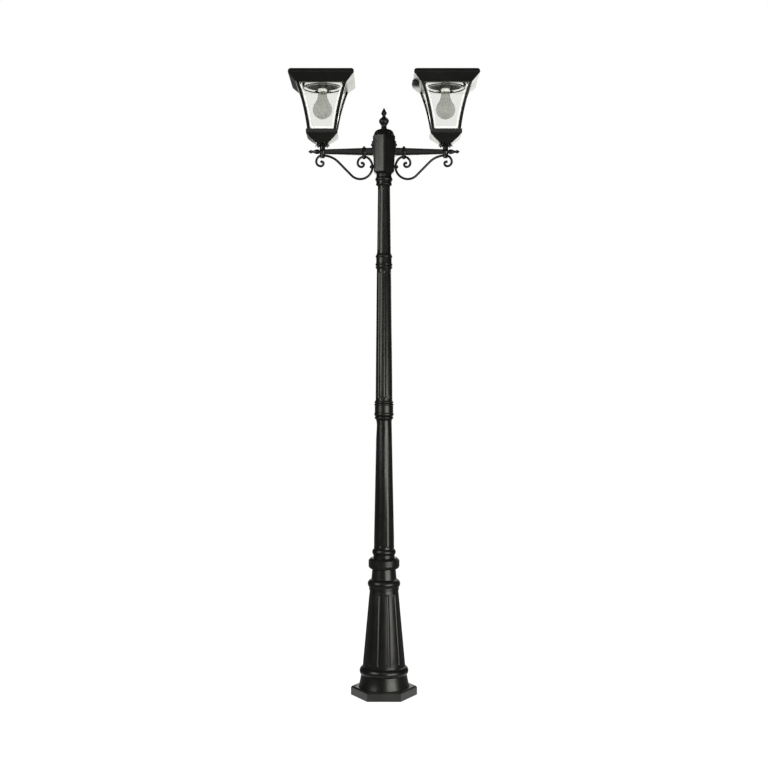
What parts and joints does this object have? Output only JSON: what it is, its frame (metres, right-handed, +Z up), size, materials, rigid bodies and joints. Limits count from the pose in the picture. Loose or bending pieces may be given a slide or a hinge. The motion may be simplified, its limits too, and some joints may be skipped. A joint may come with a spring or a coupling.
{
  "type": "double head lamp post",
  "caption": "Tall garden lamp post with a fluted pedestal and pole, scrolled side arms and square flared lanterns with clear bevelled panes, solar roofs and hanging bulbs",
  "frame": {"origin": "on the ground under the post's axis, at the centre of the anchor holes' circle", "axes": "+Z up along the post, +X along the right arm, the front looks towards -Y"},
  "size_m": [0.669, 0.236, 2.209],
  "materials": {
    "black_iron": "satin",
    "black_aluminium": "satin",
    "black_steel": "satin",
    "steel": "satin",
    "clear_glass": "gloss",
    "smoke_glass": "gloss",
    "solar_glass": "gloss",
    "bright_aluminium": "polished",
    "white_plastic": "gloss",
    "pale_plastic": "matte",
    "battery_plastic": "matte",
    "board_plastic": "matte",
    "black_plastic": "satin",
    "grey_plastic": "satin"
  },
  "bodies": {
    "post": {"base_plate": "black_iron", "base_screws": "steel", "pedestal": "black_aluminium", "pedestal_collar": "black_aluminium", "lower_pole": "black_aluminium", "lower_coupler": "black_aluminium", "middle_pole": "black_aluminium", "upper_coupler": "black_aluminium", "upper_pole": "black_aluminium", "hub_neck": "black_aluminium", "hub": "black_aluminium", "hub_cap": "black_aluminium", "finial": "black_aluminium", "pole_nipples": "steel", "arm_screws": "black_steel", "scroll_bolts": "black_steel", "scroll_nuts": "black_steel", "scroll_screws": "black_steel", "stem_nuts": "black_steel", "left_arm": "black_aluminium", "left_scroll": "black_steel", "left_stem": "black_steel", "right_arm": "black_aluminium", "right_scroll": "black_steel", "right_stem": "black_steel"},
    "left_head": {"left_fitter": "black_aluminium", "left_set_screws": "black_steel", "left_bowl": "black_aluminium", "left_cage": "black_aluminium", "left_panes": "clear_glass", "left_roof": "black_aluminium", "left_solar_panel": "solar_glass", "left_reflector": "bright_aluminium", "left_socket": "white_plastic", "left_battery_pack": "battery_plastic", "left_control_board": "board_plastic", "left_switch_body": "black_plastic", "left_roof_screws": "black_steel"},
    "left_bulb": {"left_bulb_glass": "smoke_glass", "left_bulb_cap": "white_plastic", "left_bulb_stem": "pale_plastic"},
    "left_button": {"left_switch_button": "grey_plastic"},
    "right_head": {"right_fitter": "black_aluminium", "right_set_screws": "black_steel", "right_bowl": "black_aluminium", "right_cage": "black_aluminium", "right_panes": "clear_glass", "right_roof": "black_aluminium", "right_solar_panel": "solar_glass", "right_reflector": "bright_aluminium", "right_socket": "white_plastic", "right_battery_pack": "battery_plastic", "right_control_board": "board_plastic", "right_switch_body": "black_plastic", "right_roof_screws": "black_steel"},
    "right_bulb": {"right_bulb_glass": "smoke_glass", "right_bulb_cap": "white_plastic", "right_bulb_stem": "pale_plastic"},
    "right_button": {"right_switch_button": "grey_plastic"}
  },
  "joints": [
    {"name": "left_head_swivel", "type": "hinge", "parent": "post", "child": "left_head", "pos_m": [-0.2195, 0, 1.9554], "axis": [0, 0, 1], "continuous": true},
    {"name": "left_bulb_turn", "type": "hinge", "parent": "left_head", "child": "left_bulb", "pos_m": [-0.2195, 0, 2.1613], "axis": [0, 0, 1], "continuous": true},
    {"name": "left_switch_press", "type": "slide", "parent": "left_head", "child": "left_button", "axis": [0, -1, 0], "range_m": [0, 0.002], "stiffness_N_per_m": 500},
    {"name": "right_head_swivel", "type": "hinge", "parent": "post", "child": "right_head", "pos_m": [0.2195, 0, 1.9554], "axis": [0, 0, 1], "continuous": true},
    {"name": "right_bulb_turn", "type": "hinge", "parent": "right_head", "child": "right_bulb", "pos_m": [0.2195, 0, 2.1613], "axis": [0, 0, 1], "continuous": true},
    {"name": "right_switch_press", "type": "slide", "parent": "right_head", "child": "right_button", "axis": [1, 0, 0], "range_m": [0, 0.002], "stiffness_N_per_m": 500}
  ]
}
